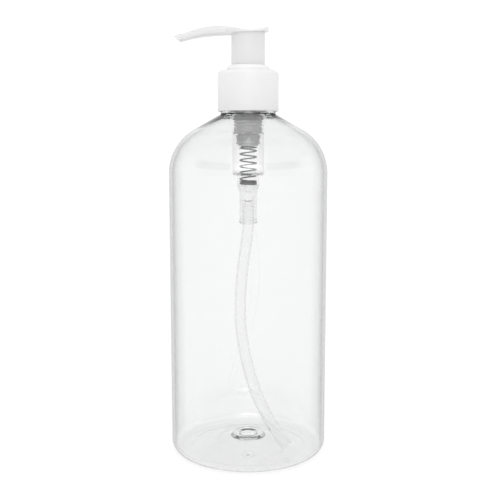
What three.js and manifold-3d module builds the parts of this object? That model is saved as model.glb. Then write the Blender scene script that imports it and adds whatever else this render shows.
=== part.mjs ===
// Pump bottle for oil: a clear round bottle with a screwed closure and a hand pump.
// Millimetres, +Z up. The bottle stands on Z = 0 with its axis on Z, and the spout points to -X.
// The pieces are shown as the pump stands ready to use, with its head up.
import * as THREE from 'three';
import { mergeVertices } from 'three/addons/utils/BufferGeometryUtils.js';
import Module from 'manifold-3d';

const wasm = await Module();
wasm.setup();

// Driving dimensions
const BOTTLE_R = 35;
const BOTTLE_WALL = 1.3;
const HEEL_R = 5.3;
const FOOT_INNER_R = 26.1;
const CREASE_R = 14.5;
const CREASE_Z = 2.6;
const GATE_R = 6.8;
const GATE_Z = 4.6;
const GATE_DIMPLE_R = 3.6;
const SHOULDER_Z = 125.7;
const SHOULDER_R = 22;
const CONE_ANGLE = 29.5;
const NECK_BEAD_R = 12;
const NECK_BEAD_Z = 152.3;
const NECK_R = 10.8;
const NECK_BORE_R = 8.9;
const NECK_TOP_Z = 166;

const THREAD_PITCH = 3.175;
const THREAD_TURNS = 1.5;
const THREAD_START_Z = 157;
const NECK_THREAD_R = 11.9;
const CLOSURE_THREAD_R = 11.15;

const CLOSURE_R = 13.3;
const CLOSURE_BORE_R = 12.15;
const CLOSURE_BOTTOM_Z = 152.7;
const CLOSURE_TOP_Z = 170.35;
const CLOSURE_DECK = 1.3;
const CLOSURE_ROUND = 1.9;
const CLOSURE_HOLE_R = 8.75;

const FACE_GAP = 0.05;
const GASKET_THICK = 0.95;
const HOUSING_FLANGE_R = 11;
const HOUSING_FLANGE = 0.95;
const HOUSING_CUP_R = 8.7;
const HOUSING_CUP_BORE_R = 8.15;
const HOUSING_CUP_Z = 149.4;
const SLEEVE_BORE_R = 6.4;
const SLEEVE_BORE_Z = 144.1;
const BARREL_R = 6.85;
const BARREL_BORE_R = 5.55;
const BARREL_BOTTOM_Z = 125;
const SPRING_CHAMBER_R = 4.9;
const SPRING_CHAMBER_BORE_R = 4.1;
const SPRING_SEAT_Z = 120.5;
const SOCKET_R = 3.75;
const SOCKET_BOTTOM_Z = 103.4;
const BALL_R = 2.6;
const BALL_Z = 115.65;
const BALL_CHAMBER_R = 2.75;
const VENT_R = 0.5;
const VENT_Z = 140.3;

const RING_R = 9.3;
const RING_TOP_Z = 172.5;
const RING_DOME_Z = 171.1;
const RING_BOTTOM_Z = 170.4;
const RING_WAIST_R = 8.6;
const RING_BORE_R = 7.55;
const RING_CUP_R = 8.05;
const RING_CUP_FLOOR_Z = 152;
const RING_SLEEVE_BOTTOM_Z = 144.3;
const RING_SLEEVE_R = 5.5;
const RING_RIB_R = 6.25;
const RING_RIBS = 3;
const RING_RIB_STEP = 1.75;

const SKIRT_R = 7.3;
const SKIRT_WALL = 0.9;
const SKIRT_BOTTOM_Z = 169.5;
const HEAD_PAD_R = 8.9;
const SPOUT_HALF = 2.8;
const SPOUT_TAPER = 0.07;
const HEAD_PLATE_Z = 184;
const HEAD_PLATE_TOP_Z = 186.3;
const STEM_R = 3.2;
const STEM_BORE_R = 2.1;
const STEM_TOP_Z = 183;
const STEM_NECK_R = 2.6;
const STEM_STOP_R = 4.6;
const STEM_STOP_Z = 143;

const PISTON_TOP_Z = 141.65;
const PISTON_SKIRT_TOP_Z = 142.95;
const PISTON_R = 5;
const PISTON_LIP_R = 5.48;
const SEAT_TOP_Z = 138.8;
const SEAT_THICK = 0.8;
const SEAT_R = 4.4;

const SPRING_R = 3.6;
const WIRE_R = 0.325;
const TUBE_R = 2.5;
const TUBE_BORE_R = 1.9;
const TUBE_TOP_Z = 111.2;

// Facets around the large and the small round pieces
const LARGE_SIDES = 36;
const SMALL_SIDES = 24;

const material = {
  clearPet: new THREE.MeshStandardMaterial({
    color: 0xf3f6f6, roughness: 0.05, metalness: 0, transparent: true, opacity: 0.3,
  }),
  whitePolypropylene: new THREE.MeshStandardMaterial({ color: 0xf4f4f3, roughness: 0.35, metalness: 0 }),
  naturalPolypropylene: new THREE.MeshStandardMaterial({
    color: 0xe6e8e8, roughness: 0.3, metalness: 0, transparent: true, opacity: 0.55,
  }),
  softPolyethylene: new THREE.MeshStandardMaterial({ color: 0xe9e9e6, roughness: 0.5, metalness: 0 }),
  tubePolyethylene: new THREE.MeshStandardMaterial({
    color: 0xf0f2f2, roughness: 0.25, metalness: 0, transparent: true, opacity: 0.45,
  }),
  foam: new THREE.MeshStandardMaterial({ color: 0xf2f2ee, roughness: 0.9, metalness: 0 }),
  stainless: new THREE.MeshStandardMaterial({ color: 0x9a9da0, roughness: 0.25, metalness: 1 }),
  glass: new THREE.MeshStandardMaterial({
    color: 0xf4f7f6, roughness: 0.03, metalness: 0, transparent: true, opacity: 0.35,
  }),
};

// Points on an arc of a section, from one angle to another in degrees
function arc(r, z, radius, from, to, steps) {
  const points = [];
  for (let i = 0; i <= steps; i += 1) {
    const angle = THREE.MathUtils.degToRad(from + ((to - from) * i) / steps);
    points.push([r + radius * Math.cos(angle), z + radius * Math.sin(angle)]);
  }
  return points;
}

// Welds a geometry into one closed skin with its faces pointing out
function weld(geometry) {
  const bare = geometry.clone();
  bare.deleteAttribute('normal');
  bare.deleteAttribute('uv');
  const skin = mergeVertices(bare, 1e-5);
  const place = skin.attributes.position;
  const corners = [0, 1, 2].map(() => new THREE.Vector3());
  const faces = [];
  let volume = 0;
  for (let i = 0; i < skin.index.count; i += 3) {
    const face = [0, 1, 2].map((k) => skin.index.getX(i + k));
    if (new Set(face).size === 3) {
      faces.push(face);
      face.forEach((vertex, k) => corners[k].fromBufferAttribute(place, vertex));
      volume += corners[0].dot(corners[1].cross(corners[2]));
    }
  }
  if (volume < 0) {
    faces.forEach((face) => face.reverse());
  }
  skin.setIndex(faces.flat());
  return skin;
}

// A turned piece from a closed [radius, height] section
function turned(section, sides) {
  const points = [...section, section[0]].map(([r, z]) => new THREE.Vector2(r, z));
  return weld(new THREE.LatheGeometry(points, sides).rotateX(Math.PI / 2));
}

// A bar with the given section, carried round Z as a right-hand or left-hand helix.
// The section's x is a radius and its y a height; place(t) gives the radius and height added at t.
function helical(section, turns, stepsPerTurn, place) {
  const shape = new THREE.Shape(section.map(([x, y]) => new THREE.Vector2(x, y)));
  const steps = Math.round(Math.abs(turns) * stepsPerTurn);
  const bar = new THREE.ExtrudeGeometry(shape, { depth: 1, steps, bevelEnabled: false });
  const vertex = new THREE.Vector3();
  for (let i = 0; i < bar.attributes.position.count; i += 1) {
    vertex.fromBufferAttribute(bar.attributes.position, i);
    const [scale, radius, height] = place(vertex.z);
    const angle = 2 * Math.PI * turns * vertex.z;
    const r = radius + vertex.x * scale;
    bar.attributes.position.setXYZ(i, r * Math.cos(angle), r * Math.sin(angle), height + vertex.y);
  }
  return weld(bar);
}

function solid(geometry) {
  const vertProperties = Float32Array.from(geometry.attributes.position.array);
  const triVerts = Uint32Array.from(geometry.index.array);
  return new wasm.Manifold(new wasm.Mesh({ numProp: 3, vertProperties, triVerts }));
}

function geometryOf(body) {
  const mesh = body.getMesh();
  const geometry = new THREE.BufferGeometry();
  geometry.setAttribute('position', new THREE.BufferAttribute(Float32Array.from(mesh.vertProperties), 3));
  geometry.setIndex(Array.from(mesh.triVerts));
  return geometry;
}

// A plain round pin, upright or along Y, for holes
function pin(radius, length, x, y, z, alongY = false) {
  const geometry = new THREE.CylinderGeometry(radius, radius, length, 12);
  if (!alongY) {
    geometry.rotateX(Math.PI / 2);
  }
  return solid(weld(geometry.translate(x, y, z)));
}

function piece(name, geometry, finish) {
  const mesh = new THREE.Mesh(geometry, finish);
  mesh.name = name;
  return mesh;
}

// A screw thread: a trapezoid ridge that fades in and out at its two ends
function threadRidge(rootR, crestR, startZ) {
  const depth = crestR - rootR;
  const rootHalf = 1;
  const crestHalf = 0.45;
  const buried = -0.3 * Math.sign(depth);
  const buriedHalf = rootHalf + 0.1;
  const section = [
    [buried, -buriedHalf], [0, -rootHalf], [depth, -crestHalf],
    [depth, crestHalf], [0, rootHalf], [buried, buriedHalf],
  ];
  const fadeShare = 0.08;
  const endScale = 0.12;
  return helical(section, THREAD_TURNS, 20, (t) => {
    const full = Math.min(1, Math.min(t, 1 - t) / fadeShare);
    return [endScale + (1 - endScale) * full, rootR, startZ + THREAD_PITCH * THREAD_TURNS * t];
  });
}

function bottle() {
  const shoulderR = BOTTLE_R - SHOULDER_R;
  const slope = Math.tan(THREE.MathUtils.degToRad(CONE_ANGLE));
  const tangent = 90 - CONE_ANGLE;
  const outerShoulder = arc(shoulderR, SHOULDER_Z, SHOULDER_R, 0, tangent, 8);
  const innerShoulder = arc(shoulderR, SHOULDER_Z, SHOULDER_R - BOTTLE_WALL, tangent, 0, 7);
  const [coneR, coneZ] = outerShoulder.at(-1);
  const [innerConeR, innerConeZ] = innerShoulder[0];
  const heelR = BOTTLE_R - HEEL_R;
  const gateTop = GATE_Z + BOTTLE_WALL + 1.1;
  const section = [
    [0, GATE_Z - 0.2],
    [GATE_DIMPLE_R, GATE_Z - 0.2],
    [GATE_DIMPLE_R + 0.6, GATE_Z + 0.3],
    [GATE_R + 0.7, GATE_Z],
    [CREASE_R, CREASE_Z],
    [FOOT_INNER_R, 0],
    ...arc(heelR, HEEL_R, HEEL_R, -90, 0, 4),
    ...outerShoulder,
    [NECK_BEAD_R + 0.6, coneZ + slope * (coneR - NECK_BEAD_R - 0.6)],
    [NECK_BEAD_R, NECK_BEAD_Z],
    [NECK_BEAD_R, NECK_BEAD_Z + 1.3],
    [NECK_R, NECK_BEAD_Z + 2.1],
    [NECK_R, NECK_TOP_Z - 0.4],
    [NECK_R - 0.4, NECK_TOP_Z],
    [NECK_BORE_R, NECK_TOP_Z],
    [NECK_BORE_R, innerConeZ + slope * (innerConeR - NECK_BORE_R)],
    ...innerShoulder,
    ...arc(heelR, HEEL_R, HEEL_R - BOTTLE_WALL, 0, -90, 4),
    [FOOT_INNER_R, BOTTLE_WALL],
    [CREASE_R, CREASE_Z + BOTTLE_WALL],
    [GATE_R + 1, GATE_Z + BOTTLE_WALL - 0.1],
    [GATE_R, gateTop - 0.1],
    [GATE_DIMPLE_R + 0.6, gateTop],
    [GATE_DIMPLE_R, gateTop - 0.5],
    [0, gateTop - 0.6],
  ];
  const thread = solid(threadRidge(NECK_R, NECK_THREAD_R, THREAD_START_Z));
  return piece('bottle', geometryOf(solid(turned(section, LARGE_SIDES)).add(thread)), material.clearPet);
}

function closureCollar() {
  const underDeck = CLOSURE_TOP_Z - CLOSURE_DECK;
  const roundR = CLOSURE_R - CLOSURE_ROUND;
  const roundZ = CLOSURE_TOP_Z - CLOSURE_ROUND;
  const section = [
    [CLOSURE_BORE_R + 0.3, CLOSURE_BOTTOM_Z],
    [CLOSURE_R - 0.25, CLOSURE_BOTTOM_Z],
    [CLOSURE_R, CLOSURE_BOTTOM_Z + 0.25],
    ...arc(roundR, roundZ, CLOSURE_ROUND, 0, 90, 4),
    [CLOSURE_HOLE_R + 0.25, CLOSURE_TOP_Z],
    [CLOSURE_HOLE_R, CLOSURE_TOP_Z - 0.25],
    [CLOSURE_HOLE_R, underDeck],
    [CLOSURE_BORE_R, underDeck],
    [CLOSURE_BORE_R, CLOSURE_BOTTOM_Z + 0.3],
  ];
  const thread = solid(threadRidge(CLOSURE_BORE_R, CLOSURE_THREAD_R, THREAD_START_Z - THREAD_PITCH / 2));
  const body = solid(turned(section, LARGE_SIDES)).add(thread);
  return piece('closure_collar', geometryOf(body), material.whitePolypropylene);
}

function neckGasket() {
  const bottomZ = NECK_TOP_Z + FACE_GAP;
  const section = [
    [NECK_BORE_R, bottomZ],
    [CLOSURE_BORE_R - 0.6, bottomZ],
    [CLOSURE_BORE_R - 0.6, bottomZ + GASKET_THICK],
    [NECK_BORE_R, bottomZ + GASKET_THICK],
  ];
  return piece('neck_gasket', turned(section, LARGE_SIDES), material.foam);
}

// The height where the pump's own flange rests on the gasket
const flangeZ = NECK_TOP_Z + GASKET_THICK + 2 * FACE_GAP;

function pumpHousing() {
  const cupFloorZ = RING_CUP_FLOOR_Z - 0.6;
  const seatR = 1.3;
  const seatAngle = THREE.MathUtils.radToDeg(Math.acos(seatR / BALL_CHAMBER_R));
  const seat = arc(0, BALL_Z, BALL_CHAMBER_R, 0, -seatAngle, 5);
  const tubeSocketR = TUBE_R + FACE_GAP;
  const section = [
    [SOCKET_R - 0.25, SOCKET_BOTTOM_Z],
    [SOCKET_R + 0.25, SOCKET_BOTTOM_Z + 0.5],
    [SOCKET_R + 0.25, SOCKET_BOTTOM_Z + 1.6],
    [SOCKET_R, SOCKET_BOTTOM_Z + 2],
    [SOCKET_R + 0.1, SPRING_SEAT_Z - 3.2],
    [SPRING_CHAMBER_R, SPRING_SEAT_Z],
    [SPRING_CHAMBER_R, BARREL_BOTTOM_Z],
    [BARREL_R - 0.4, BARREL_BOTTOM_Z],
    [BARREL_R, BARREL_BOTTOM_Z + 0.4],
    [BARREL_R, HOUSING_CUP_Z],
    [HOUSING_CUP_R - 0.5, HOUSING_CUP_Z + 0.9],
    [HOUSING_CUP_R, HOUSING_CUP_Z + 1.9],
    [HOUSING_CUP_R, flangeZ],
    [HOUSING_FLANGE_R, flangeZ],
    [HOUSING_FLANGE_R, flangeZ + HOUSING_FLANGE],
    [HOUSING_CUP_BORE_R, flangeZ + HOUSING_FLANGE],
    [HOUSING_CUP_BORE_R, cupFloorZ],
    [SLEEVE_BORE_R, cupFloorZ],
    [SLEEVE_BORE_R, SLEEVE_BORE_Z],
    [BARREL_BORE_R, SLEEVE_BORE_Z - 0.5],
    [BARREL_BORE_R, BARREL_BOTTOM_Z + 0.8],
    [SPRING_CHAMBER_BORE_R, BARREL_BOTTOM_Z + 0.8],
    [SPRING_CHAMBER_BORE_R, SPRING_SEAT_Z],
    [BALL_CHAMBER_R, SPRING_SEAT_Z],
    ...seat,
    [seatR, TUBE_TOP_Z + 0.1],
    [tubeSocketR, TUBE_TOP_Z + 0.1],
    [tubeSocketR, SOCKET_BOTTOM_Z + 0.5],
    [tubeSocketR + 0.35, SOCKET_BOTTOM_Z],
  ];
  let body = solid(turned(section, SMALL_SIDES));
  const ribs = 3;
  const ribHeight = 1.9;
  for (let i = 0; i < ribs; i += 1) {
    const rib = new THREE.BoxGeometry(1.1, 0.7, ribHeight);
    rib.translate(BALL_CHAMBER_R - 0.2, 0, SPRING_SEAT_Z - 0.1 - ribHeight / 2);
    body = body.add(solid(weld(rib.rotateZ((i * 2 * Math.PI) / ribs))));
  }
  const vent = pin(VENT_R, 2, 0, BARREL_BORE_R + 0.4, VENT_Z, true);
  return piece('pump_housing', geometryOf(body.subtract(vent)), material.naturalPolypropylene);
}

function lockRing() {
  const flangeBottomZ = flangeZ + HOUSING_FLANGE + FACE_GAP;
  const flangeTopZ = CLOSURE_TOP_Z - CLOSURE_DECK - 2 * FACE_GAP;
  const guideR = STEM_R + 0.1;
  const ribHigh = 1.1;
  const domeR = RING_BORE_R + 0.2;
  const domeSteps = 4;
  const dome = [];
  for (let i = 0; i <= domeSteps; i += 1) {
    const angle = (Math.PI / 2) * (i / domeSteps);
    const r = domeR + (RING_R - domeR) * Math.cos(angle);
    dome.push([r, RING_DOME_Z + (RING_TOP_Z - RING_DOME_Z) * Math.sin(angle)]);
  }
  const ribs = [];
  for (let i = 0; i < RING_RIBS; i += 1) {
    const z = RING_SLEEVE_BOTTOM_Z + i * RING_RIB_STEP;
    ribs.push([RING_RIB_R, z], [RING_RIB_R, z + ribHigh], [RING_SLEEVE_R, z + ribHigh]);
    ribs.push([RING_SLEEVE_R, z + RING_RIB_STEP]);
  }
  const section = [
    [guideR, RING_SLEEVE_BOTTOM_Z],
    ...ribs,
    [RING_SLEEVE_R, RING_CUP_FLOOR_Z],
    [RING_CUP_R - 0.3, RING_CUP_FLOOR_Z],
    [RING_CUP_R, RING_CUP_FLOOR_Z + 0.3],
    [RING_CUP_R, flangeBottomZ],
    [HOUSING_FLANGE_R - 0.4, flangeBottomZ],
    [HOUSING_FLANGE_R - 0.4, flangeTopZ],
    [RING_WAIST_R, flangeTopZ],
    [RING_WAIST_R, RING_BOTTOM_Z],
    [RING_R, RING_BOTTOM_Z],
    ...dome,
    [RING_BORE_R, RING_TOP_Z - 0.2],
    [RING_BORE_R, RING_CUP_FLOOR_Z + 0.8],
    [RING_SLEEVE_R - 1, RING_CUP_FLOOR_Z + 0.8],
    [RING_SLEEVE_R - 1, RING_SLEEVE_BOTTOM_Z + 2.7],
    [guideR, RING_SLEEVE_BOTTOM_Z + 2.4],
  ];
  return piece('lock_ring', turned(section, SMALL_SIDES), material.whitePolypropylene);
}

// The head's side view, from the spout's tip to the back of the thumb pad, as [x, z]
const headTop = [
  [-32.3, 184.8], [-26, 186.5], [-19.5, 188.4], [-12.5, 189.05], [-7, 188.5], [-3, 187.45], [1, 187.1],
  [5.2, 187.6], [8.6, 188.8],
];
const headUnder = [
  [-29.4, 182.5], [-24.6, 183.75], [-18.5, 184.8], [-12, 185.3], [-7, 185.6], [-3, 185.7], [1, 185.8],
  [5.2, 186.2], [8.9, 186.95],
];

// The way through the head, from just outside the spout's tip to over the stem, as [x, z]
const channelRoute = [
  [-32.5, 183.1], [-27, 184.75], [-20, 186.4], [-12.5, 187.1], [-7, 186.9], [-3, 185.6], [0, 185],
];

// The head's bar follows its side view; width(x) is half its width
function headBar(section, steps, width) {
  const shape = new THREE.Shape(section.map(([x, y]) => new THREE.Vector2(x, y)));
  const top = new THREE.SplineCurve(headTop.map(([x, z]) => new THREE.Vector2(x, z)));
  const under = new THREE.SplineCurve(headUnder.map(([x, z]) => new THREE.Vector2(x, z)));
  const bar = new THREE.ExtrudeGeometry(shape, { depth: 1, steps, bevelEnabled: false });
  const vertex = new THREE.Vector3();
  for (let i = 0; i < bar.attributes.position.count; i += 1) {
    vertex.fromBufferAttribute(bar.attributes.position, i);
    const along = 1 - (1 - vertex.z) ** 1.6;
    const high = top.getPoint(along);
    const low = under.getPoint(along);
    const share = (vertex.y + 1) / 2;
    const x = low.x + (high.x - low.x) * share;
    const half = width((high.x + low.x) / 2);
    bar.attributes.position.setXYZ(i, x, vertex.x * half, low.y + (high.y - low.y) * share);
  }
  return solid(weld(bar));
}

// A rounded unit section, two wide and two high
function roundedSection(count, squareness) {
  const points = [];
  for (let i = 0; i < count; i += 1) {
    const angle = (2 * Math.PI * (i + 0.5)) / count;
    const side = (value) => Math.sign(value) * Math.abs(value) ** squareness;
    points.push([side(Math.cos(angle)), side(Math.sin(angle))]);
  }
  return points;
}

// Half the head's width: the round thumb pad runs smoothly into the narrow spout
function headHalfWidth(x) {
  const tipX = headTop[0][0];
  const pad = Math.sqrt(Math.max(1.2, HEAD_PAD_R ** 2 - x ** 2));
  const spout = SPOUT_HALF + SPOUT_TAPER * (x - tipX);
  const blend = 2.2;
  const overshoot = 0.5 * (Math.hypot(HEAD_PAD_R - spout, blend) - (HEAD_PAD_R - spout));
  return x > 0 ? pad : 0.5 * (pad + spout + Math.hypot(pad - spout, blend)) - overshoot;
}

function actuatorHead() {
  const socketR = STEM_R + FACE_GAP;
  const bossR = 4.6;
  const bossZ = 172;
  const section = [
    [SKIRT_R - SKIRT_WALL, SKIRT_BOTTOM_Z],
    [SKIRT_R - 0.2, SKIRT_BOTTOM_Z],
    [SKIRT_R, SKIRT_BOTTOM_Z + 0.2],
    [SKIRT_R, HEAD_PLATE_TOP_Z],
    [STEM_BORE_R, HEAD_PLATE_TOP_Z],
    [STEM_BORE_R, STEM_TOP_Z + FACE_GAP],
    [socketR, STEM_TOP_Z + FACE_GAP],
    [socketR, bossZ + 0.3],
    [socketR + 0.3, bossZ],
    [bossR, bossZ],
    [bossR, HEAD_PLATE_Z],
    [SKIRT_R - SKIRT_WALL, HEAD_PLATE_Z],
  ];
  const pad = headBar(roundedSection(16, 0.55), 26, headHalfWidth);
  const riserHeight = 2.4;
  const riser = pin(STEM_BORE_R, riserHeight, 0, 0, STEM_TOP_Z + FACE_GAP + riserHeight / 2);
  const bore = new THREE.Shape().absellipse(0, 0, 1.5, 0.7, 0, 2 * Math.PI);
  const way = new THREE.CatmullRomCurve3(channelRoute.map(([x, z]) => new THREE.Vector3(x, 0, z)));
  const channel = new THREE.ExtrudeGeometry(bore, { extrudePath: way, steps: 12, curveSegments: 5 });
  const body = solid(turned(section, LARGE_SIDES)).add(pad).subtract(riser).subtract(solid(weld(channel)));
  return piece('actuator_head', geometryOf(body), material.whitePolypropylene);
}

function stem() {
  const stopTopZ = RING_SLEEVE_BOTTOM_Z - FACE_GAP;
  const bottomZ = SEAT_TOP_Z + FACE_GAP;
  const section = [
    [STEM_BORE_R, bottomZ],
    [STEM_NECK_R, bottomZ],
    [STEM_NECK_R, STEM_STOP_Z],
    [STEM_STOP_R, STEM_STOP_Z],
    [STEM_STOP_R, stopTopZ],
    [STEM_R, stopTopZ],
    [STEM_R, STEM_TOP_Z - 0.4],
    [STEM_R - 0.3, STEM_TOP_Z],
    [STEM_BORE_R, STEM_TOP_Z],
  ];
  const inletHeight = 1.2;
  const inlet = new THREE.BoxGeometry(2 * STEM_STOP_R, 1, inletHeight);
  inlet.translate(0, 0, bottomZ - 0.1 + inletHeight / 2);
  const body = solid(turned(section, SMALL_SIDES)).subtract(solid(weld(inlet)));
  return piece('stem', geometryOf(body), material.whitePolypropylene);
}

function piston() {
  const bottomZ = SEAT_TOP_Z + FACE_GAP;
  const hubR = STEM_NECK_R + 0.1;
  const webZ = (bottomZ + PISTON_TOP_Z) / 2;
  const section = [
    [hubR, bottomZ],
    [hubR + 1.2, bottomZ],
    [hubR + 1.2, webZ - 0.5],
    [PISTON_R - 0.6, webZ - 0.5],
    [PISTON_LIP_R - 0.5, bottomZ + 0.1],
    [PISTON_LIP_R, bottomZ + 0.1],
    [PISTON_R, webZ - 0.4],
    [PISTON_R, webZ + 0.4],
    [PISTON_LIP_R, PISTON_SKIRT_TOP_Z],
    [PISTON_LIP_R - 0.5, PISTON_SKIRT_TOP_Z],
    [PISTON_R - 0.6, webZ + 0.5],
    [hubR + 1.2, webZ + 0.5],
    [hubR + 1.2, PISTON_TOP_Z - 0.4],
    [hubR, PISTON_TOP_Z - 0.4],
  ];
  return piece('piston', turned(section, SMALL_SIDES), material.softPolyethylene);
}

function pistonSeat() {
  const spigotR = STEM_BORE_R - FACE_GAP;
  const spigotHeight = 3.6;
  const seatZ = SEAT_TOP_Z - SEAT_THICK;
  const noseZ = seatZ - 1.4;
  const section = [
    [0, noseZ],
    [1.4, noseZ],
    [2.6, seatZ],
    [SEAT_R, seatZ],
    [SEAT_R, SEAT_TOP_Z],
    [spigotR, SEAT_TOP_Z],
    [spigotR, SEAT_TOP_Z + spigotHeight - 0.4],
    [spigotR - 0.4, SEAT_TOP_Z + spigotHeight],
    [0, SEAT_TOP_Z + spigotHeight],
  ];
  const channelHeight = spigotHeight + 0.4;
  const channel = new THREE.BoxGeometry(2 * spigotR + 1, 0.9, channelHeight);
  channel.translate(0, 0, SEAT_TOP_Z + channelHeight / 2);
  const body = solid(turned(section, SMALL_SIDES)).subtract(solid(weld(channel)));
  return piece('piston_seat', geometryOf(body), material.whitePolypropylene);
}

// Left-hand compression spring with closed coils at both ends
function returnSpring() {
  const topZ = SEAT_TOP_Z - SEAT_THICK - FACE_GAP;
  const bottomZ = SPRING_SEAT_Z + FACE_GAP;
  const closedLow = 2.2;
  const open = 5.2;
  const closedHigh = 1;
  const turns = closedLow + open + closedHigh;
  const closedPitch = 2 * WIRE_R + 0.03;
  const free = topZ - bottomZ - 2 * WIRE_R - (closedLow + closedHigh) * closedPitch;
  const round = arc(0, 0, WIRE_R, 0, 300, 5);
  const wire = helical(round, -turns, 12, (t) => {
    const turn = t * turns;
    const low = Math.min(turn, closedLow);
    const middle = THREE.MathUtils.clamp(turn - closedLow, 0, open);
    const high = Math.max(0, turn - closedLow - open);
    const rise = (low + high) * closedPitch + (middle * free) / open;
    return [1, SPRING_R, bottomZ + WIRE_R + rise];
  });
  return piece('return_spring', wire, material.stainless);
}

function inletBall() {
  const ball = new THREE.SphereGeometry(BALL_R, 16, 10).rotateX(Math.PI / 2).translate(0, 0, BALL_Z);
  return piece('inlet_ball', weld(ball), material.glass);
}

// The tube's middle line: straight out of the housing, then bowed towards the front of the base
const tubeRoute = [
  [0, 0, 102.6], [-0.5, -0.1, 97], [-2.4, -0.5, 84], [-3.5, -1.4, 70], [-3.3, -2.4, 58], [-1.2, -4.4, 44],
  [3.3, -7.5, 28.5], [9.8, -10.2, 15.2], [16.9, -12, 4.9],
];

function dipTube() {
  const section = new THREE.Shape().absarc(0, 0, TUBE_R, 0, 2 * Math.PI);
  section.holes.push(new THREE.Path().absarc(0, 0, TUBE_BORE_R, 0, 2 * Math.PI));
  const route = new THREE.CurvePath();
  const points = tubeRoute.map((point) => new THREE.Vector3(...point));
  route.add(new THREE.LineCurve3(new THREE.Vector3(0, 0, TUBE_TOP_Z), points[0]));
  route.add(new THREE.CatmullRomCurve3(points));
  const tube = new THREE.ExtrudeGeometry(section, { extrudePath: route, steps: 26, curveSegments: 5 });
  return piece('dip_tube', weld(tube), material.tubePolyethylene);
}

const group = new THREE.Group();
group.add(
  bottle(), closureCollar(), neckGasket(), lockRing(), pumpHousing(), actuatorHead(),
  stem(), piston(), pistonSeat(), returnSpring(), inletBall(), dipTube(),
);

export default group;
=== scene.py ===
"""Clear pump bottle for oil, with its white closure and hand pump, on a pale floor.

Every visible piece replaces the CAD node of the same name with a finer mesh of the same size and place.
Lengths are in millimetres up to the moment a mesh is made; Blender's own lengths are in metres.
"""

import math

import bmesh
import bpy
from mathutils import Matrix, Vector


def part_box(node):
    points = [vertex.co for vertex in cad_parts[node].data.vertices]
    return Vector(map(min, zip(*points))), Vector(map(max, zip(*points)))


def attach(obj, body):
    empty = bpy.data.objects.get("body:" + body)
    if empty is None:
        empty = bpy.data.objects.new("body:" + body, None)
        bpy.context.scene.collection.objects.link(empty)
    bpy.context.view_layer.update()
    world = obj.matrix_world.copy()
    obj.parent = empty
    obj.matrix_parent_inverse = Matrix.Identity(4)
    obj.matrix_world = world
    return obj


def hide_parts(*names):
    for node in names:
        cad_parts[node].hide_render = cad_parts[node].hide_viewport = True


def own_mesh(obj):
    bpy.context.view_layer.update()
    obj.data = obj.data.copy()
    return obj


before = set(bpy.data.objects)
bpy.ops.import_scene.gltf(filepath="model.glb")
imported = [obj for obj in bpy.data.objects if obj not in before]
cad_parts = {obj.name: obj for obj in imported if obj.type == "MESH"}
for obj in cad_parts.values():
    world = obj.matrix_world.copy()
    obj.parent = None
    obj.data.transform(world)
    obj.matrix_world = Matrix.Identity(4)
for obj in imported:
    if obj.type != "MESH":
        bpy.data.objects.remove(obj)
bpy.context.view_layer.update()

MM = 0.001


def span(node):
    """A CAD node's lowest and highest corner in millimetres."""
    low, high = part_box(node)
    return low / MM, high / MM


# ---------------------------------------------------------------- places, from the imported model
BOTTLE_R = span("bottle")[1].x
NECK_TOP = span("bottle")[1].z
CLOSURE_R = span("closure_collar")[1].x
CLOSURE_LOW = span("closure_collar")[0].z
CLOSURE_TOP = span("closure_collar")[1].z
RING_LOW = span("lock_ring")[0].z
RING_TOP = span("lock_ring")[1].z
HOUSING_LOW = span("pump_housing")[0].z
HOUSING_TOP = span("pump_housing")[1].z
HEAD_LOW = span("actuator_head")[0].z
STEM_LOW = span("stem")[0].z
STEM_TOP = span("stem")[1].z
PISTON_LOW, PISTON_TOP = (corner.z for corner in span("piston"))
SEAT_LOW, SEAT_TOP = (corner.z for corner in span("piston_seat"))
SPRING_LOW, SPRING_TOP = (corner.z for corner in span("return_spring"))
BALL_Z = sum(corner.z for corner in span("inlet_ball")) / 2
BALL_R = span("inlet_ball")[1].x
TUBE_TOP = span("dip_tube")[1].z
TUBE_R = 2.5
TUBE_BORE_R = 1.9

# ---------------------------------------------------------------- shapes shared by several pieces
HEEL_R = 5.3
WALL = 1.3
SHOULDER_Z = 125.7
SHOULDER_R = 22
CONE_ANGLE = 29.5
NECK_R = 10.8
NECK_BORE_R = 8.9
NECK_BEAD_R = 12
NECK_BEAD_Z = 152.3
CLOSURE_BORE_R = 12.15
THREAD_PITCH = 3.175
THREAD_TURNS = 1.5
THREAD_Z = 157
FLANGE_Z = span("neck_gasket")[1].z + 0.05
STEM_R = 3.2
STEM_BORE_R = 2.1


# ---------------------------------------------------------------- mesh helpers
def rounded(corners, steps=5):
    """A section's points: each corner is (r, z) or (r, z, fillet radius)."""
    points = []
    count = len(corners)
    for i, corner in enumerate(corners):
        here = Vector(corner[:2])
        fillet = corner[2] if len(corner) > 2 else 0
        back = (Vector(corners[i - 1][:2]) - here).normalized()
        on = (Vector(corners[(i + 1) % count][:2]) - here).normalized()
        straight = (back + on).length < 0.01
        if not fillet or straight:
            points.append(here)
            continue
        half = back.angle(on) / 2
        reach = fillet / math.tan(half)
        centre = here + (back + on).normalized() * (fillet / math.sin(half))
        first = here + back * reach - centre
        last = here + on * reach - centre
        sweep = first.angle_signed(last)
        for k in range(steps + 1):
            points.append(centre + Matrix.Rotation(-sweep * k / steps, 2) @ first)
    return [(p.x, p.y) for p in points]


def arc(r, z, radius, start, end, steps):
    """Points on a circle of a section, from one angle to another in degrees."""
    angles = [math.radians(start + (end - start) * k / steps) for k in range(steps + 1)]
    return [(r + radius * math.cos(a), z + radius * math.sin(a)) for a in angles]


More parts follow.
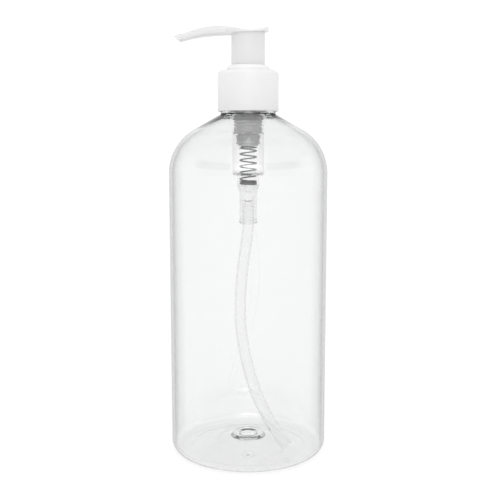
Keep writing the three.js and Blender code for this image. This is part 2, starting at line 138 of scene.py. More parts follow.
def finish_mesh(name, verts, faces, sharp=35):
    """A smooth-shaded object from millimetre vertices, with its faces pointing out."""
    mesh = bpy.data.meshes.new(name)
    mesh.from_pydata([(x * MM, y * MM, z * MM) for x, y, z in verts], [], faces)
    mesh.validate()
    work = bmesh.new()
    work.from_mesh(mesh)
    bmesh.ops.recalc_face_normals(work, faces=work.faces)
    work.to_mesh(mesh)
    work.free()
    shade(mesh, sharp)
    obj = bpy.data.objects.new(name, mesh)
    bpy.context.scene.collection.objects.link(obj)
    return obj


def shade(mesh, sharp=35):
    """Smooth shading, with a hard edge wherever faces meet at more than the sharp angle in degrees."""
    mesh.shade_smooth()
    mesh.set_sharp_from_angle(angle=math.radians(sharp))


def turned(name, section, sides=96, shift=None, sharp=35):
    """A closed section of (r, z) points turned round Z. shift(angle, r, z) is added to a point's radius."""
    verts, rows = [], []
    for r, z in section:
        if r < 1e-6:
            rows.append([len(verts)] * sides)
            verts.append((0, 0, z))
            continue
        rows.append(list(range(len(verts), len(verts) + sides)))
        for k in range(sides):
            angle = 2 * math.pi * k / sides
            radius = r + (shift(angle, r, z) if shift else 0)
            verts.append((radius * math.cos(angle), radius * math.sin(angle), z))
    faces = []
    for i, row in enumerate(rows):
        for face in band(row, rows[(i + 1) % len(rows)]):
            corners = list(dict.fromkeys(face))
            if len(corners) > 2:
                faces.append(corners)
    return finish_mesh(name, verts, faces, sharp)


def band(first, second):
    """The four-cornered faces between two rings of the same number of points."""
    count = len(first)
    return [[first[k], first[(k + 1) % count], second[(k + 1) % count], second[k]] for k in range(count)]


def swept(name, route, section, bore=None):
    """A section of (x, y) points carried along route points; bore is a second section that hollows it."""
    tangents = []
    for i in range(len(route)):
        ahead = route[min(i + 1, len(route) - 1)]
        behind = route[max(i - 1, 0)]
        tangents.append((ahead - behind).normalized())
    side = tangents[0].orthogonal().normalized()
    verts, rings, inner = [], [], []
    for point, tangent in zip(route, tangents):
        side = (side - tangent * side.dot(tangent)).normalized()
        other = tangent.cross(side)
        for outline, store in ((section, rings), (bore, inner)):
            if outline:
                store.append(list(range(len(verts), len(verts) + len(outline))))
                verts.extend(tuple(point + side * x + other * y) for x, y in outline)
    faces = []
    for ringset in (rings, inner):
        for a, b in zip(ringset, ringset[1:]):
            faces += band(a, b)
    for end in (0, -1):
        faces += band(rings[end], inner[end]) if bore else [list(rings[end])]
    return finish_mesh(name, verts, faces, 40)


def circle(radius, count):
    """Points evenly round a circle."""
    angles = [2 * math.pi * k / count for k in range(count)]
    return [(radius * math.cos(angle), radius * math.sin(angle)) for angle in angles]


def smooth_route(points, steps):
    """A Catmull-Rom line through points, with steps points on each stretch."""
    route = []
    padded = [points[0] * 2 - points[1], *points, points[-1] * 2 - points[-2]]
    for i in range(1, len(padded) - 2):
        a, b, c, d = padded[i - 1:i + 3]
        for k in range(steps):
            t = k / steps
            route.append(0.5 * (2 * b + (c - a) * t + (2 * a - 5 * b + 4 * c - d) * t**2
                                + (3 * b - a - 3 * c + d) * t**3))
    return [*route, points[-1]]


def cut(obj, tool, operation="DIFFERENCE", sharp=35):
    """Joins or cuts obj with a second mesh, which is then removed."""
    modifier = obj.modifiers.new("cut", "BOOLEAN")
    modifier.operation = operation
    modifier.solver = "EXACT"
    modifier.object = tool
    apply_modifiers(obj)
    bpy.data.objects.remove(tool)
    shade(obj.data, sharp)


def apply_modifiers(obj):
    """Keeps an object's shape as its modifiers leave it, and drops the modifiers."""
    graph = bpy.context.evaluated_depsgraph_get()
    obj.data = bpy.data.meshes.new_from_object(obj.evaluated_get(graph))
    obj.modifiers.clear()


def box_mesh(name, size, centre, turn=0):
    """A plain block, for cutting and joining, turned about Z after it is placed."""
    x, y, z = (s / 2 for s in size)
    spin = Matrix.Rotation(turn, 3, "Z")
    corners = [(sx * x, sy * y, sz * z) for sx in (-1, 1) for sy in (-1, 1) for sz in (-1, 1)]
    verts = [tuple(spin @ (Vector(c) + Vector(centre))) for c in corners]
    faces = [(0, 1, 3, 2), (4, 6, 7, 5), (0, 4, 5, 1), (2, 3, 7, 6), (0, 2, 6, 4), (1, 5, 7, 3)]
    return finish_mesh(name, verts, faces)


# ---------------------------------------------------------------- materials
def plastic(name, colour, roughness, grain, grain_size, ior=1.49, **shader):
    """Moulded plastic: faint mottling of its colour and gloss, and a fine moulded skin."""
    material = bpy.data.materials.new(name)
    material.use_nodes = True
    nodes, links = material.node_tree.nodes, material.node_tree.links
    bsdf = nodes["Principled BSDF"]
    bsdf.inputs["IOR"].default_value = ior
    bsdf.inputs["Subsurface Radius"].default_value = (1, 1, 1)
    for socket, value in shader.items():
        bsdf.inputs[socket.replace("_", " ")].default_value = value
    place = nodes.new("ShaderNodeTexCoord")
    mottle = nodes.new("ShaderNodeTexNoise")
    mottle.inputs["Scale"].default_value = 180
    mottle.inputs["Detail"].default_value = 3
    links.new(place.outputs["Object"], mottle.inputs["Vector"])
    tint = nodes.new("ShaderNodeMapRange")
    tint.inputs["To Min"].default_value = 0.985
    tint.inputs["To Max"].default_value = 1.0
    links.new(mottle.outputs["Fac"], tint.inputs["Value"])
    shadeof = nodes.new("ShaderNodeMix")
    shadeof.data_type = "RGBA"
    shadeof.blend_type = "MULTIPLY"
    shadeof.inputs["Factor"].default_value = 1
    shadeof.inputs["A"].default_value = (*colour, 1)
    links.new(tint.outputs["Result"], shadeof.inputs["B"])
    links.new(shadeof.outputs["Result"], bsdf.inputs["Base Color"])
    gloss = nodes.new("ShaderNodeMapRange")
    gloss.inputs["To Min"].default_value = roughness * 0.85
    gloss.inputs["To Max"].default_value = roughness * 1.15
    links.new(mottle.outputs["Fac"], gloss.inputs["Value"])
    links.new(gloss.outputs["Result"], bsdf.inputs["Roughness"])
    skin = nodes.new("ShaderNodeTexNoise")
    skin.inputs["Scale"].default_value = grain_size
    skin.inputs["Detail"].default_value = 2
    links.new(place.outputs["Object"], skin.inputs["Vector"])
    bump = nodes.new("ShaderNodeBump")
    bump.inputs["Strength"].default_value = grain
    bump.inputs["Distance"].default_value = 0.00005
    links.new(skin.outputs["Fac"], bump.inputs["Height"])
    links.new(bump.outputs["Normal"], bsdf.inputs["Normal"])
    return material


def tinted(material, colour, density):
    """Gives a see-through plastic its own faint tint, which deepens where more of it is looked through."""
    nodes, links = material.node_tree.nodes, material.node_tree.links
    absorb = nodes.new("ShaderNodeVolumeAbsorption")
    absorb.inputs["Color"].default_value = (*colour, 1)
    absorb.inputs["Density"].default_value = density
    links.new(absorb.outputs["Volume"], nodes["Material Output"].inputs["Volume"])
    return material


def paint_edge_shade(material, stops):
    """Paints shade into a see-through plastic's colour where it is looked along, for its dark edge lines:
    stops are (how edge-on, share of the colour kept).

    Light that has bounced off a matt piece gets no painted edge shade, so what is inside keeps its
    brightness.
    """
    nodes, links = material.node_tree.nodes, material.node_tree.links
    base = nodes["Principled BSDF"].inputs["Base Color"]
    colour = base.links[0].from_socket

    def computed(operation, first, second=0.0):
        """The result of a Math node on two numbers or sockets."""
        node = nodes.new("ShaderNodeMath")
        node.operation = operation
        for socket, value in zip(node.inputs, (first, second)):
            if isinstance(value, float):
                socket.default_value = value
            else:
                links.new(value, socket)
        return node.outputs["Value"]

    edge = nodes.new("ShaderNodeLayerWeight")
    surface = nodes.new("ShaderNodeNewGeometry")
    normal = nodes.new("ShaderNodeSeparateXYZ")
    links.new(surface.outputs["Normal"], normal.inputs["Vector"])
    # The slope is 1 on an upright wall and less on a cone, which would otherwise get the painted edge shade
    # all over
    rise = normal.outputs["Z"]
    slope = computed("SQRT", computed("SUBTRACT", 1.0, computed("MULTIPLY", rise, rise)))
    slope = computed("MAXIMUM", slope, 0.3)
    faced = computed("SUBTRACT", 1.0, edge.outputs["Facing"])
    round_edge = computed("SUBTRACT", 1.0, computed("DIVIDE", faced, slope))
    ramp = nodes.new("ShaderNodeValToRGB")
    elements = ramp.color_ramp.elements
    for k, (place, share) in enumerate(stops):
        element = elements[k] if k < 2 else elements.new(place)
        element.position = place
        element.color = (share, share, share, 1)
    links.new(round_edge, ramp.inputs["Fac"])
    # Painted edge shade: the ramp's darkening is multiplied into the colour, except on light after a diffuse
    # bounce
    painted_edge_mix = nodes.new("ShaderNodeMix")
    painted_edge_mix.data_type = "RGBA"
    painted_edge_mix.blend_type = "MULTIPLY"
    path = nodes.new("ShaderNodeLightPath")
    links.new(computed("SUBTRACT", 1.0, path.outputs["Diffuse Depth"]), painted_edge_mix.inputs["Factor"])
    links.new(colour, painted_edge_mix.inputs["A"])
    links.new(ramp.outputs["Color"], painted_edge_mix.inputs["B"])
    links.new(painted_edge_mix.outputs["Result"], base)
    return material


def steel(name, colour, roughness, scale):
    """Drawn stainless wire, with fine streaks in its gloss."""
    material = bpy.data.materials.new(name)
    material.use_nodes = True
    nodes, links = material.node_tree.nodes, material.node_tree.links
    bsdf = nodes["Principled BSDF"]
    bsdf.inputs["Base Color"].default_value = (*colour, 1)
    bsdf.inputs["Metallic"].default_value = 1
    place = nodes.new("ShaderNodeTexCoord")
    streak = nodes.new("ShaderNodeTexNoise")
    streak.inputs["Scale"].default_value = scale
    streak.inputs["Detail"].default_value = 4
    links.new(place.outputs["Object"], streak.inputs["Vector"])
    gloss = nodes.new("ShaderNodeMapRange")
    gloss.inputs["To Min"].default_value = roughness * 0.7
    gloss.inputs["To Max"].default_value = roughness * 1.4
    links.new(streak.outputs["Fac"], gloss.inputs["Value"])
    links.new(gloss.outputs["Result"], bsdf.inputs["Roughness"])
    return material


clear_pet = tinted(
    plastic("clear_pet", (1, 1, 1), 0.02, 0.02, 60, ior=1.57, Transmission_Weight=1),
    (0.8, 0.81, 0.81), 200,
)
# The shell's dark edge lines are painted shade, set by how edge-on the wall is seen
paint_edge_shade(clear_pet, [(0.45, 1), (0.65, 0.8), (0.83, 0.22), (1, 0.03)])
milky = {"Subsurface_Weight": 1, "Subsurface_Scale": 0.001}
white_pp = plastic("white_polypropylene", (0.84, 0.84, 0.84), 0.38, 0.1, 2500, **milky)
# The head is the closure's white plastic made darker: painted shade, so the head reads less brightly lit
head_pp_painted_shade = plastic("head_polypropylene_painted_shade", (0.76, 0.76, 0.76), 0.38, 0.1, 2500, **milky)
# The lock ring, stem and piston seat are the closure's white plastic made lighter: painted light, so they
# read bright inside the pump
inner_pp_painted_light = plastic("ring_polypropylene_painted_light", (0.91, 0.91, 0.91), 0.45, 0.1, 2500)
natural_pp = tinted(
    plastic("natural_polypropylene", (1, 1, 1), 0.08, 0, 900, ior=1.25, Transmission_Weight=1),
    (0.8, 0.8, 0.8), 120,
)
soft_pe = plastic("soft_polyethylene", (0.85, 0.85, 0.85), 0.45, 0.1, 1500, ior=1.51, **milky)
tube_pe = tinted(
    plastic("tube_polyethylene", (1, 1, 1), 0.01, 0, 700, ior=1.2, Transmission_Weight=1),
    (0.8, 0.8, 0.8), 140,
)
# The tube's dark edge lines are painted shade, set by how edge-on the wall is seen
paint_edge_shade(tube_pe, [(0.5, 1), (0.7, 0.7), (0.85, 0.2), (1, 0.1)])
clear_glass = plastic("clear_glass", (1, 1, 1), 0.01, 0, 700, ior=1.52, Transmission_Weight=1)
foam_pe = plastic("foam_polyethylene", (0.85, 0.85, 0.84), 0.9, 0.6, 3000)
# The wire's colour is set far darker than bright steel: painted shade, so the spring reads dark inside the
# pump
stainless = steel("stainless_steel", (0.1, 0.101, 0.104), 0.22, 2000)


# ---------------------------------------------------------------- the pieces
def thread_shift(root_z, height, sign):
    """How far a screw ridge stands out of a wall at an angle and a height."""
    def shift(angle, _r, z):
        best = 0
        for turn in range(math.ceil(THREAD_TURNS)):
            along = (angle / (2 * math.pi) + turn) / THREAD_TURNS
            if along > 1:
                continue
            off = abs(z - root_z - THREAD_PITCH * THREAD_TURNS * along)
            fade = min(1, min(along, 1 - along) / 0.05)
            ridge = min(1, max(0, (1.05 - off) / 0.55))
            best = max(best, ridge * fade * height)
        return sign * best
    return shift


def column(r, low, high, step):
    """Evenly spaced points up or down a straight wall."""
    count = round(abs(high - low) / step)
    return [(r, low + (high - low) * k / count) for k in range(count + 1)]


def make_bottle():
    """The clear shell, with a plain dot and ring raised on the underside of its base."""
    slope = math.tan(math.radians(CONE_ANGLE))
    shoulder_r = BOTTLE_R - SHOULDER_R
    heel_r = BOTTLE_R - HEEL_R
    tangent = 90 - CONE_ANGLE
    outer = arc(shoulder_r, SHOULDER_Z, SHOULDER_R, 0, tangent, 28)
    inner = arc(shoulder_r, SHOULDER_Z, SHOULDER_R - WALL, tangent, 0, 28)
    cone_z = outer[-1][1] + slope * (outer[-1][0] - NECK_BEAD_R)
    bore_z = inner[0][1] + slope * (inner[0][0] - NECK_BORE_R)
    foot_r, crease_r, gate_r, dimple_r = 26.1, 14.5, 6.8, 3.6
    aside = 80
    foot = rounded([
        (0, 4.4), (dimple_r, 4.4, 0.3), (dimple_r + 0.6, 4.9, 0.3), (gate_r + 0.7, 4.6, 2),
        (crease_r, 2.6, 3), (foot_r, 0, 2), (heel_r, 0), (heel_r, aside), (0, aside),
    ])[:-3]
    floor = rounded([
        (foot_r, WALL, 2), (crease_r, 2.6 + WALL, 3), (gate_r + 1, 5.8, 0.5), (gate_r, 6.9, 0.35),
        (dimple_r + 0.6, 7, 0.3), (dimple_r, 6.5, 0.3), (0, 6.4), (0, aside), (heel_r, aside), (heel_r, WALL),
    ])
    floor = [point for point in floor if point[1] < aside - 1]
    section = [
        *foot,
        *arc(heel_r, HEEL_R, HEEL_R, -90, 0, 16),
        *column(BOTTLE_R, HEEL_R, SHOULDER_Z, 12)[1:-1],
        *outer,
        (NECK_BEAD_R + 0.6, cone_z - slope * 0.6),
        (NECK_BEAD_R + 0.15, cone_z - 0.02),
        (NECK_BEAD_R, NECK_BEAD_Z + 0.25),
        (NECK_BEAD_R, NECK_BEAD_Z + 1.2),
        (NECK_BEAD_R - 0.2, NECK_BEAD_Z + 1.4),
        (NECK_R + 0.2, NECK_BEAD_Z + 1.95),
        *column(NECK_R, NECK_BEAD_Z + 2.2, NECK_TOP - 0.45, 0.25),
        (NECK_R - 0.12, NECK_TOP - 0.12),
        (NECK_R - 0.4, NECK_TOP),
        (NECK_BORE_R + 0.3, NECK_TOP),
        (NECK_BORE_R, NECK_TOP - 0.3),
        *column(NECK_BORE_R, NECK_TOP - 1, bore_z, 2),
        *inner,
        *column(BOTTLE_R - WALL, SHOULDER_Z, HEEL_R, 12)[1:-1],
        *arc(heel_r, HEEL_R, HEEL_R - WALL, 0, -90, 16)[:-1],
        (heel_r, WALL),
        *floor[:-1],
    ]
    neck = thread_shift(THREAD_Z, 1.1, 1)

    def shift(angle, r, z):
        on_neck = abs(r - NECK_R) < 0.01 and z > NECK_BEAD_Z
        return neck(angle, r, z) if on_neck else 0

    bottle = turned("bottle_body", section, 160, shift, 30)
    mark_place = Vector((0, -16.5, 2.15)) * MM
    mark_tilt = 0.22
    for low_r, high_r in ((0, 0.9), (2.3, 2.85)):
        mark = turned("mark", [(low_r, -0.3), (high_r, -0.3), (high_r, 0.4), (low_r, 0.4)], 48)
        mark.data.transform(Matrix.Translation(mark_place) @ Matrix.Rotation(mark_tilt, 4, "X"))
        cut(bottle, mark, "UNION", 30)
    return bottle


def make_closure():
    hole_r = 8.75
    deck_z = CLOSURE_TOP - 1.3
    bore = column(CLOSURE_BORE_R, deck_z - 0.5, CLOSURE_LOW + 0.5, 0.25)
    section = [
        *rounded([
            (CLOSURE_BORE_R + 0.3, CLOSURE_LOW), (CLOSURE_R, CLOSURE_LOW, 0.25),
            (CLOSURE_R, CLOSURE_TOP, 1.9), (hole_r, CLOSURE_TOP, 0.25), (hole_r, deck_z, 0.15),
            (CLOSURE_BORE_R, deck_z), (CLOSURE_BORE_R, 100),
        ], 8)[:-1],
        *bore,
    ]
    ridge = thread_shift(THREAD_Z - THREAD_PITCH / 2, 1.0, -1)

    def shift(angle, r, z):
        in_bore = abs(r - CLOSURE_BORE_R) < 0.01 and z < deck_z - 0.4
        return ridge(angle, r, z) if in_bore else 0

    return turned("closure_shell", section, 128, shift)


def make_gasket():
    low, high = (corner.z for corner in span("neck_gasket"))
    outer = span("neck_gasket")[1].x
    section = rounded([
        (NECK_BORE_R, low, 0.15), (outer, low, 0.15), (outer, high, 0.15), (NECK_BORE_R, high, 0.15),
    ])
    return turned("gasket_washer", section, 96)


def make_lock_ring():
    ring_r, waist_r, bore_r, cup_r = 9.3, 8.6, 7.55, 8.05
    sleeve_r, rib_r, guide_r = 5.5, 6.25, STEM_R + 0.1
    rib_step, rib_high, dome_low = 1.75, 1.1, 171.1
    flange_low, flange_top = HOUSING_TOP + 0.05, CLOSURE_TOP - 1.4
    floor_z = 152
    ribs = []
    for k in range(3):
        z = RING_LOW + rib_step * k
        ribs += [(rib_r, z, 0.12), (rib_r, z + rib_high, 0.12)]
        ribs += [(sleeve_r, z + rib_high, 0.1), (sleeve_r, z + rib_step, 0.1)]
    dome_r = bore_r + 0.2
    dome = [
        (dome_r + (ring_r - dome_r) * math.cos(a), dome_low + (RING_TOP - dome_low) * math.sin(a))
        for a in (math.pi / 2 * k / 12 for k in range(13))
    ]
    section = rounded([
        (guide_r, RING_LOW, 0.15), *ribs, (sleeve_r, floor_z, 0.3), (cup_r, floor_z, 0.4),
        (cup_r, flange_low), (10.6, flange_low, 0.2), (10.6, flange_top, 0.2), (waist_r, flange_top),
        (waist_r, RING_TOP - 2.1), (ring_r, RING_TOP - 2.1, 0.1), *dome,
        (bore_r, RING_TOP - 0.2), (bore_r, floor_z + 0.8, 0.3), (sleeve_r - 1, floor_z + 0.8, 0.2),
        (sleeve_r - 1, RING_LOW + 2.7), (guide_r, RING_LOW + 2.4, 0.1),
    ])
    return turned("lock_ring_sleeve", section, 96)


def make_housing():
    seat_r = 1.3
    socket_r, bore_r, chamber_r = 3.75, TUBE_R + 0.05, 2.75
    barrel_r, barrel_bore, step_z = 6.85, 5.55, 125
    sleeve_bore, sleeve_z = 6.4, RING_LOW - 0.2
    coil_r, coil_bore, seat_top = 4.9, 4.1, SPRING_LOW - 0.05
    cup_r, cup_bore, cup_z, cup_floor = 8.7, 8.15, 149.4, 151.4
    seat = arc(0, BALL_Z, chamber_r, 0, -math.degrees(math.acos(seat_r / chamber_r)), 16)
    section = rounded([
        (socket_r - 0.25, HOUSING_LOW, 0.1), (socket_r + 0.25, HOUSING_LOW + 0.5, 0.15),
        (socket_r + 0.25, HOUSING_LOW + 1.6, 0.15), (socket_r, HOUSING_LOW + 2, 0.15),
        (socket_r + 0.1, seat_top - 3.2, 0.6), (coil_r, seat_top, 0.6), (coil_r, step_z, 0.3),
        (barrel_r, step_z, 0.5), (barrel_r, cup_z, 0.3), (cup_r - 0.5, cup_z + 0.9, 0.5),
        (cup_r, cup_z + 1.9, 0.5), (cup_r, FLANGE_Z), (11, FLANGE_Z, 0.2), (11, HOUSING_TOP, 0.2),
        (cup_bore, HOUSING_TOP, 0.2), (cup_bore, cup_floor, 0.3), (sleeve_bore, cup_floor, 0.2),
        (sleeve_bore, sleeve_z, 0.2), (barrel_bore, sleeve_z - 0.5, 0.3), (barrel_bore, step_z + 0.8, 0.4),
        (coil_bore, step_z + 0.8, 0.3), (coil_bore, seat_top, 0.1), (chamber_r, seat_top, 0.15),
        *seat, (seat_r, TUBE_TOP + 0.1, 0.1),
        (bore_r, TUBE_TOP + 0.1), (bore_r, HOUSING_LOW + 0.5), (bore_r + 0.35, HOUSING_LOW),
    ])
    housing = turned("housing_shell", section, 96)
    for k in range(3):
        rib = box_mesh("rib", (1.1, 0.7, 1.9), (chamber_r - 0.2, 0, seat_top - 1.05), 2 * math.pi * k / 3)
        cut(housing, rib, "UNION")
    vent_z = 140.3
    vent = swept("vent", [Vector((0, y, vent_z)) for y in (5.2, 7.6)], circle(0.5, 16))
    cut(housing, vent)
    return housing


def make_stem():
    waist_r, stop_r = 2.6, 4.6
    stop_low, stop_top = 143, RING_LOW - 0.05
    section = rounded([
        (STEM_BORE_R, STEM_LOW), (waist_r, STEM_LOW, 0.1), (waist_r, stop_low, 0.15),
        (stop_r, stop_low, 0.15), (stop_r, stop_top, 0.15), (STEM_R, stop_top, 0.15),
        (STEM_R, STEM_TOP, 0.35), (STEM_BORE_R, STEM_TOP, 0.2),
    ])
    stem = turned("stem_rod", section, 64)
    cut(stem, box_mesh("inlet", (9.2, 1, 1.2), (0, 0, STEM_LOW + 0.5)))
    return stem


def make_piston():
    hub_r, outer_r, lip_r = 2.7, 5, 5.48
    hub_top = PISTON_TOP - 1.7
    web_z = (PISTON_LOW + 0.4 + hub_top) / 2
    section = rounded([
        (hub_r, PISTON_LOW, 0.1), (hub_r + 1.2, PISTON_LOW, 0.1), (hub_r + 1.2, web_z - 0.5, 0.15),
        (outer_r - 0.6, web_z - 0.5, 0.15), (lip_r - 0.5, PISTON_LOW + 0.1, 0.08),
        (lip_r, PISTON_LOW + 0.1, 0.08), (outer_r, web_z - 0.4, 0.3), (outer_r, web_z + 0.4, 0.3),
        (lip_r, PISTON_TOP, 0.08), (lip_r - 0.5, PISTON_TOP, 0.08), (outer_r - 0.6, web_z + 0.5, 0.15),
        (hub_r + 1.2, web_z + 0.5, 0.15), (hub_r + 1.2, hub_top, 0.1), (hub_r, hub_top, 0.1),
    ])
    return turned("piston_cup", section, 96)


def make_piston_seat():
    spigot_r, seat_r = STEM_BORE_R - 0.05, 4.4
    flange_z = SEAT_LOW + 1.4
    flange_top = STEM_LOW - 0.05
    section = rounded([
        (0, SEAT_LOW), (1.4, SEAT_LOW, 0.4), (2.6, flange_z, 0.3), (seat_r, flange_z, 0.15),
        (seat_r, flange_top, 0.15), (spigot_r, flange_top, 0.1), (spigot_r, SEAT_TOP - 0.4, 0.1),
        (spigot_r - 0.4, SEAT_TOP, 0.15), (0, SEAT_TOP),
    ])
    seat = turned("piston_seat_plug", section, 64)
    cut(seat, box_mesh("channel", (2 * spigot_r + 1, 0.9, 4), (0, 0, flange_top + 2)))
    return seat


def make_spring():
    wire_r, coil_r = 0.325, 3.6
    closed_low, open_turns, closed_high = 2.2, 5.2, 1
    turns = closed_low + open_turns + closed_high
    closed_pitch = 2 * wire_r + 0.03
    free = SPRING_TOP - SPRING_LOW - 2 * wire_r - (closed_low + closed_high) * closed_pitch
    steps = round(turns * 40)
    route = []
    for k in range(steps + 1):
        turn = turns * k / steps
        opened = min(max(turn - closed_low, 0), open_turns)
        rise = (turn - opened) * closed_pitch + opened * free / open_turns
        angle = -2 * math.pi * turn
        route.append(Vector((coil_r * math.cos(angle), coil_r * math.sin(angle), SPRING_LOW + wire_r + rise)))
    return swept("spring_coil", route, circle(wire_r, 14))


def make_ball():
    return turned("inlet_ball_glass", arc(0, BALL_Z, BALL_R, -90, 90, 32), 64)


def make_tube():
    route = [(0, 0, 102.6), (-0.5, -0.1, 97), (-2.4, -0.5, 84), (-3.5, -1.4, 70), (-3.3, -2.4, 58),
             (-1.2, -4.4, 44), (3.3, -7.5, 28.5), (9.8, -10.2, 15.2), (16.9, -12, 4.9)]
    line = smooth_route([Vector(p) for p in route], 24)
    straight = TUBE_TOP - route[0][2]
    top = [Vector((0, 0, TUBE_TOP - straight * k / 4)) for k in range(4)]
    return swept("dip_tube_hose", [*top, *line], circle(TUBE_R, 72), bore=circle(TUBE_BORE_R, 72))


# The head's side view, from the spout's tip to the back of the thumb pad, and the way through it, as (x, z)
HEAD_TOP = [
    (-32.3, 184.8), (-26, 186.5), (-19.5, 188.4), (-12.5, 188.97), (-7, 188.5), (-3, 187.45), (1, 187.1),
    (5.2, 187.6), (8.6, 188.8),
]
HEAD_UNDER = [
    (-29.4, 182.5), (-24.6, 183.75), (-18.5, 184.8), (-12, 185.3), (-7, 185.6), (-3, 185.7), (1, 185.8),
    (5.2, 186.2), (8.9, 186.95),
]
CHANNEL = [(-32.5, 183.1), (-27, 184.75), (-20, 186.4), (-12.5, 187.1), (-7, 186.9), (-3, 185.6), (0, 185)]
PAD_R = 8.9


def head_half_width(x):
    """Half the head's width: the round thumb pad runs smoothly into the narrow spout."""
    pad = math.sqrt(max(0.2, PAD_R**2 - x**2))
    spout = 2.8 + 0.07 * (x - HEAD_TOP[0][0])
    blend = 2.2
    overshoot = 0.5 * (math.hypot(PAD_R - spout, blend) - (PAD_R - spout))
    return pad if x > 0 else 0.5 * (pad + spout + math.hypot(pad - spout, blend)) - overshoot


def on_line(line, u):
    """The point at share u along a line of points."""
    place = min(u * (len(line) - 1), len(line) - 1.001)
    k = int(place)
    return line[k].lerp(line[k + 1], place - k)


def head_bar(name, steps, squareness, count):
    """The spout and thumb pad in one bar along the head's side view."""
    top = smooth_route([Vector((x, 0, z)) for x, z in HEAD_TOP], 16)
    under = smooth_route([Vector((x, 0, z)) for x, z in HEAD_UNDER], 16)
    outline = []
    for k in range(count):
        angle = 2 * math.pi * (k + 0.5) / count
        c, s = math.cos(angle), math.sin(angle)
        outline.append((math.copysign(abs(c) ** squareness, c), math.copysign(abs(s) ** squareness, s)))
    verts, rings = [], []
    for i in range(steps + 1):
        u = 1 - (1 - i / steps) ** 1.8
        high, low = on_line(top, u), on_line(under, u)
        half = head_half_width((high.x + low.x) / 2)
        rings.append(list(range(len(verts), len(verts) + count)))
        for x, y in outline:
            point = low.lerp(high, (y + 1) / 2)
            verts.append((point.x, x * half, point.z))
    faces = [list(rings[0]), list(rings[-1])]
    for a, b in zip(rings, rings[1:]):
        faces += band(a, b)
    return finish_mesh(name, verts, faces, 30)


def make_head():
    skirt_r, skirt_bore, boss_r, socket_r = 7.3, 6.4, 4.6, STEM_R + 0.05
    plate_z, plate_top, boss_z = 184, 186.3, 172
    section = rounded([
        (skirt_bore, HEAD_LOW, 0.15), (skirt_r, HEAD_LOW, 0.2), (skirt_r, plate_top),
        (STEM_BORE_R, plate_top), (STEM_BORE_R, STEM_TOP + 0.05), (socket_r, STEM_TOP + 0.05),
        (socket_r, boss_z + 0.3), (socket_r + 0.3, boss_z), (boss_r, boss_z, 0.2),
        (boss_r, plate_z, 0.3), (skirt_bore, plate_z, 0.4),
    ])
    head = turned("head_and_spout", section, 128)
    cut(head, head_bar("pad", 110, 0.55, 48), "UNION")
    way = smooth_route([Vector((x, 0, z)) for x, z in CHANNEL], 8)
    bore = [(0.7 * x, 1.5 * y) for x, y in circle(1, 24)]
    cut(head, swept("channel", way, bore))
    return head


PIECES = [
    (make_bottle, "bottle", "bottle", "clear_pet", clear_pet),
    (make_closure, "closure_collar", "closure", "white_polypropylene", white_pp),
    (make_gasket, "neck_gasket", "pump_body", "foam_polyethylene", foam_pe),
    (make_lock_ring, "lock_ring", "pump_body", "white_polypropylene", inner_pp_painted_light),
    (make_housing, "pump_housing", "pump_body", "natural_polypropylene", natural_pp),
    (make_head, "actuator_head", "actuator", "white_polypropylene", head_pp_painted_shade),
    (make_stem, "stem", "actuator", "white_polypropylene", inner_pp_painted_light),
    (make_piston, "piston", "piston", "soft_polyethylene", soft_pe),
    (make_piston_seat, "piston_seat", "plunger", "white_polypropylene", inner_pp_painted_light),
    (make_spring, "return_spring", "pump_body", "stainless_steel", stainless),
    (make_ball, "inlet_ball", "inlet_ball", "clear_glass", clear_glass),
    (make_tube, "dip_tube", "pump_body", "tube_polyethylene", tube_pe),
]

for make, node, body, slot, material in PIECES:
    piece = make()
    piece.data.materials.append(material)
    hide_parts(node)
    if node == "return_spring":
        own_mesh(piece)
    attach(piece, body)


# ---------------------------------------------------------------- floor, light and camera
def make_floor():
    half, low = 6, -0.0001
    corners = [(-half, -half, low), (half, -half, low), (half, half, low), (-half, half, low)]
    mesh = bpy.data.meshes.new("floor")
    mesh.from_pydata(corners, [], [(0, 1, 2, 3)])
    floor = bpy.data.objects.new("floor", mesh)
    bpy.context.scene.collection.objects.link(floor)
    material = bpy.data.materials.new("floor")
    material.use_nodes = True
    bsdf = material.node_tree.nodes["Principled BSDF"]
    bsdf.inputs["Base Color"].default_value = (0.2, 0.2, 0.2, 1)
    bsdf.inputs["Roughness"].default_value = 1
    bsdf.inputs["Specular IOR Level"].default_value = 0
    bsdf.inputs["Emission Color"].default_value = (1, 1, 1, 1)
    bsdf.inputs["Emission Strength"].default_value = 0.86
    mesh.materials.append(material)


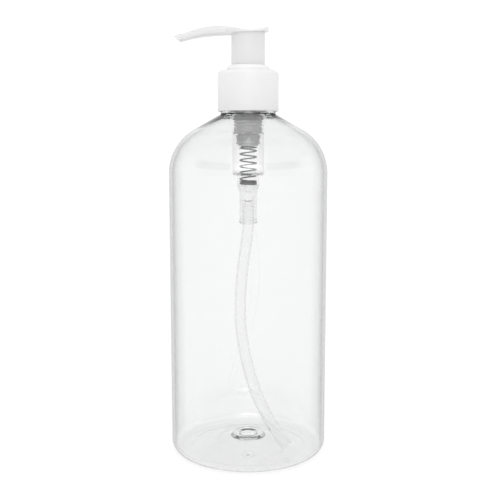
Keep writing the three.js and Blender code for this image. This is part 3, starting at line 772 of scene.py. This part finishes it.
def make_world():
    """A soft light tent, brightest in front and dimmer to the sides. The camera sees it plain white."""
    world = bpy.data.worlds.new("studio")
    bpy.context.scene.world = world
    world.use_nodes = True
    nodes, links = world.node_tree.nodes, world.node_tree.links
    brightest = 5.2

    def ramp(source, stops):
        """A brightness that follows stops of (place, brightness)."""
        node = nodes.new("ShaderNodeValToRGB")
        elements = node.color_ramp.elements
        for k, (place, level) in enumerate(stops):
            element = elements[k] if k < 2 else elements.new(place)
            element.position = place
            element.color = (level / brightest,) * 3 + (1,)
        links.new(source, node.inputs["Fac"])
        return node.outputs["Color"]

    def blend(share, first, second):
        """A mix of two brightnesses, each a number or a socket."""
        node = nodes.new("ShaderNodeMix")
        node.data_type = "RGBA"
        links.new(share, node.inputs["Factor"])
        for socket, value in (("A", first), ("B", second)):
            if isinstance(value, float):
                node.inputs[socket].default_value = (value / brightest,) * 3 + (1,)
            else:
                links.new(value, node.inputs[socket])
        return node.outputs["Result"]

    place = nodes.new("ShaderNodeTexCoord")
    parts = nodes.new("ShaderNodeSeparateXYZ")
    links.new(place.outputs["Generated"], parts.inputs["Vector"])
    turn = nodes.new("ShaderNodeMath")
    turn.operation = "ARCTAN2"
    links.new(parts.outputs["X"], turn.inputs[0])
    links.new(parts.outputs["Y"], turn.inputs[1])
    side = nodes.new("ShaderNodeMath")
    side.operation = "ABSOLUTE"
    links.new(turn.outputs["Value"], side.inputs[0])
    share = nodes.new("ShaderNodeMath")
    share.operation = "DIVIDE"
    share.inputs[1].default_value = math.pi
    links.new(side.outputs["Value"], share.inputs[0])
    around = share.outputs["Value"]
    low = ramp(around, [(0.55, 1.05), (0.66, 0.82), (0.8, 0.82), (0.92, 1.02)])
    middle = ramp(around, [(0.5, 1.0), (0.6, 0.15), (0.84, 0.25), (1, 5.2)])
    high = ramp(around, [(0.55, 0.85), (0.66, 0.8), (0.82, 0.8), (1, 2.4)])
    to_middle = ramp(parts.outputs["Z"], [(0.175, 0), (0.22, brightest)])
    to_high = ramp(parts.outputs["Z"], [(0.4, 0), (0.47, brightest)])
    light = blend(to_high, blend(to_middle, low, middle), high)
    path = nodes.new("ShaderNodeLightPath")
    links.new(blend(path.outputs["Is Camera Ray"], light, 1.05), nodes["Background"].inputs["Color"])
    nodes["Background"].inputs["Strength"].default_value = brightest


def make_camera():
    camera = bpy.data.cameras.new("camera")
    camera.lens = 59.04
    camera.clip_start = 0.01
    obj = bpy.data.objects.new("camera", camera)
    obj.location = (0.0008, -0.3645, 0.1404)
    obj.rotation_euler = (math.radians(90 - 7.65), 0, 0)
    bpy.context.scene.collection.objects.link(obj)
    bpy.context.scene.camera = obj


make_floor()
make_world()
make_camera()

scene = bpy.context.scene
scene.view_settings.view_transform = "Standard"
scene.cycles.max_bounces = 24
scene.cycles.transmission_bounces = 24
scene.cycles.transparent_max_bounces = 16
scene.cycles.glossy_bounces = 12
scene.cycles.diffuse_bounces = 12
